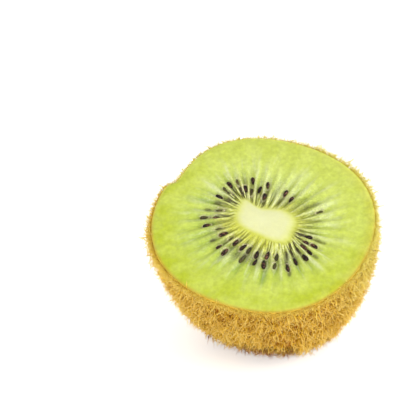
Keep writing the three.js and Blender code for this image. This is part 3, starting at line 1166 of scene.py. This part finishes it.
# the way each lock takes from its root to its tip
def lockPaths(look, angle, way, rng):
    root, out, up, side = skinFrame(angle, way)
    count, levels = len(root), look["levels"]
    turning, size = coatLook["swirl"]
    sign = np.where(rng.random(count) < look["downward"], -1, 1)
    swirl = rad(turning) * lumpy(root, size, 7.0)
    spin = sign * math.pi / 2 + swirl + rng.normal(0, rad(look["spread"]), count)
    along = side * np.cos(spin)[:, None] + up * np.sin(spin)[:, None]
    below = smooth(-lie(out, False)[:, 2], *coatLook["underside"])
    shorter, closer = coatLook["pressed"]
    free, longer = np.zeros(count), np.ones(count)
    for direction, width, gain in coatLook["whiskers"]:
        here = hump(turnFrom(angle, rad(direction)), rad(width)) * (1 - smooth(way, *coatLook["whiskerWay"]))
        free = np.maximum(free, here)
        longer = longer + gain * here
    stand = rng.uniform(*look["stand"], count) * (1 - 0.5 * free)
    stand = np.radians(stand + (coatLook["flattest"] - stand) * closer * below)[:, None]
    heading = out * np.cos(stand) + along * np.sin(stand)
    curlTo = unit(np.cross(heading, unit(rng.normal(size=(count, 3)))))
    curl = np.radians(rng.uniform(*look["curl"], count))
    length = rng.uniform(*look["length"], count) * (1 - shorter * below) * longer
    wave = rad(look["wave"]) * rng.choice([-1.0, 1.0], count)
    paths = [root - out * coatLook["rootDepth"]]
    for level in range(levels):
        part = (level + 0.5) / levels
        turn = (curl * part + wave * math.sin(circle * part))[:, None]
        step = heading * np.cos(turn) + curlTo * np.sin(turn)
        paths.append(paths[-1] + step * (length / levels)[:, None])
    return np.stack(paths, axis=1)


# the hairs of a lock start side by side and draw together
def splitLocks(look, paths, side, up, rng):
    group = look["group"]
    paths = np.repeat(paths, group, axis=0)
    count = len(paths)
    part = np.linspace(0, 1, look["levels"] + 1)[None, :, None]
    reach = rng.normal(0, look["gap"], (2, count, 1))
    beside = reach[0] * np.repeat(side, group, axis=0) + reach[1] * np.repeat(up, group, axis=0)
    paths = paths + beside[:, None] * (1 - look["hold"] * part)
    paths = paths + rng.normal(0, look["stray"], (count, 1, 3)) * part**2
    paths = paths[:, :1] + (paths - paths[:, :1]) * rng.uniform(*coatLook["lengths"], (count, 1, 1))
    top = coatLook["overCut"] * rng.random((count, 1)) ** 2
    paths[:, 1:, 2] = np.minimum(paths[:, 1:, 2], top)
    paths[:, 0, 2] = np.minimum(paths[:, 0, 2], -fruit["rimRounding"])
    return paths


# every hair's path, and how dark it is, how near the cut it is, and how much painted light it takes on the
# lit side and along the far rim
def hairPaths(look, rng):
    group = look["group"]
    angle, way = scatterRoots(look["count"] // group, look["ways"], rng)
    root, out, up, side = skinFrame(angle, way)
    locks = lockPaths(look, angle, way, rng)
    tone = rng.uniform(*look["tone"], len(root))
    for size, share in coatLook["tufts"]:
        tone = tone + share * lumpy(root, size)
    paths = splitLocks(look, locks, side, up, rng)
    count = len(paths)
    # painted light near the cut
    litNearCut = 1 - smooth(way, 0, coatLook["litNearCut"])
    # painted light: paler hair near the cut on the lit side and along the far rim
    paleLitSide, most = coatLook["paleLitSide"]
    paleLit = smooth(np.cos(angle - rad(paleLitSide)), 0.2, 0.9) * (1 - smooth(way, *coatLook["paleLitWay"]))
    paleLit = np.maximum((most + (1 - most) * litNearCut) * paleLit, litNearCut * smooth(np.sin(angle), 0.0, 0.5))
    masks = {
        "tone": np.clip(np.repeat(tone, group) + rng.normal(0, coatLook["tones"], count), 0, 1),
        "litNearCut": np.repeat(litNearCut, group),
        "paleLit": np.repeat(paleLit, group) * rng.uniform(*coatLook["paleLitStrength"], count),
    }
    return paths, masks


def makeHair(name):
    look = coatLook[name]
    rng = np.random.default_rng(look["draw"])
    paths, masks = hairPaths(look, rng)
    count = len(paths)
    radius = look["radius"] * rng.uniform(*coatLook["widths"], count)
    points, faces, along, size = strandMesh(lie(paths), radius)
    points[:, 2] = np.maximum(points[:, 2], coatLook["floorGap"] * (1 + 0.5 * np.sin(points[:, 0] * 9)))
    hair = makeMesh(name, points, faces)
    # painted shade near the floor, stronger on most hairs
    floorShade = floorShadeAt(points[:, 2], np.repeat(floorShadeReach(paths[:, 0]), size))
    getsFloorShade = rng.random(count) < look["floorShaded"]
    floorShaded = np.where(getsFloorShade, rng.uniform(*coatLook["floorShadeStrength"], count), coatLook["leastFloorShade"])
    addMask(hair, "floorShade", floorShade * np.repeat(floorShaded, size))
    addMask(hair, "along", along)
    for mask, values in masks.items():
        addMask(hair, mask, np.repeat(values, size))
    hair.data.materials.append(hairMaterial())
    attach(hair, "root")
    return count


# all kinds of hair share it
def hairMaterial():
    material = bpy.data.materials.get("kiwiHair")
    if material:
        return material
    material, tree, shader = newMaterial("kiwiHair")
    along = readAttribute(tree, "along")
    colour = colourRamp(tree, along, coatLook["pale"])
    for mask, stops in coatLook["tinted"].items():
        colour = mixColours(tree, readAttribute(tree, mask), colour, colourRamp(tree, along, stops))
    finishShader(tree, shader, colour, coatLook)
    return material


for kind in ("longHair", "curlyHair", "wispyHair", "shortHair", "rimHair"):
    print(kind, "grows as", makeHair(kind), "hairs")

# ---- the flower end: a small dry button with what is left of the flower

flowerLook = {
    "radius": 2.3,
    "stands": 0.55,  # how far it stands out of the skin
    "sunk": 1.0,
    "lobes": (6, 0.1, 0.5),  # how many, how far they stand out and how much higher they are
    "pit": 0.3,
    "bumps": (0.5, 0.1),  # size and height
    "sides": 60,
    "rings": 12,
    "styles": 18,  # the dried threads in its middle
    "styleLength": (0.9, 1.8),
    "styleRadius": 0.15,
    "styleSpread": 0.55,
    "styleLean": 0.45,
    "styleBend": 0.5,
    "floorGap": 0.05,
    "dark": (58, 38, 24),
    "light": (128, 92, 56),
    "fibres": (1500.0, 4.0, 0.65),  # noise: scale, detail and roughness
    "fibreDepth": 0.15,
    "surface": {"Roughness": 0.85, "Specular IOR Level": 0.2},
    "draw": 5,
}


# the button in the cut face's frame, around 0: the middle of its top, rings out and down, and its foot
def buttonPoints():
    look = flowerLook
    turn = np.arange(look["sides"]) / look["sides"] * circle
    count, outward, upward = look["lobes"]
    waves = np.cos(count * turn)
    rows = []
    for part in np.arange(1, look["rings"] + 1) / look["rings"]:
        reach = look["radius"] * part * (1 + outward * part * waves)
        height = look["stands"] * (1 - part**3) * (1 + upward * part * waves)
        height = height - look["pit"] * math.exp(-9 * part * part)
        rows.append(np.stack([reach * np.cos(turn), reach * np.sin(turn), -height], axis=-1))
    rows.append(rows[-1] + np.array([0, 0, look["sunk"]]))
    body = np.concatenate(rows)
    size, height = look["bumps"]
    body[:, 2] += height * lumpy(body, size)
    return np.concatenate([[[0, 0, look["pit"] - look["stands"]]], body, [[0, 0, look["sunk"]]]])


def stylePaths(end):
    look = flowerLook
    rng = np.random.default_rng(look["draw"])
    count = look["styles"]
    lean = rng.normal(0, look["styleLean"], (count, 3)) - np.array([0, 0, 1])
    bend = rng.normal(0, look["styleBend"], (count, 3))
    x, y = rng.normal(0, look["styleSpread"], (2, count))
    root = end + np.stack([x, y, np.full(count, 0.1)], axis=-1)
    length = rng.uniform(*look["styleLength"], count)[:, None]
    paths = [root + unit(lean + bend * part) * length * part for part in (0, 0.4, 0.7, 1.0)]
    return np.stack(paths, axis=1)


def makeFlowerEnd():
    look = flowerLook
    end = skinPoint(np.zeros(1), np.ones(1))[0]
    button = buttonPoints() + end
    faces = shellFaces(look["rings"] + 1, look["sides"])[:, ::-1]
    styles, styleFaces = strandMesh(stylePaths(end), np.full(look["styles"], look["styleRadius"]))[:2]
    points = lie(np.concatenate([button, styles]))
    points[:, 2] = np.maximum(points[:, 2], look["floorGap"])
    flower = makeMesh("flowerEnd", points, np.concatenate([faces, styleFaces + len(button)]))

    material, tree, shader = newMaterial("dryFlower")
    fibres = noiseNode(tree, objectPlace(tree), *look["fibres"])
    colour = darkToLight(tree, remap(tree, fibres, 0.35, 0.65), look)
    finishShader(tree, shader, colour, look, fibres, look["fibreDepth"])
    flower.data.materials.append(material)
    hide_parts("kiwi_half")
    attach(flower, "root")


makeFlowerEnd()
print("the flower end is made")
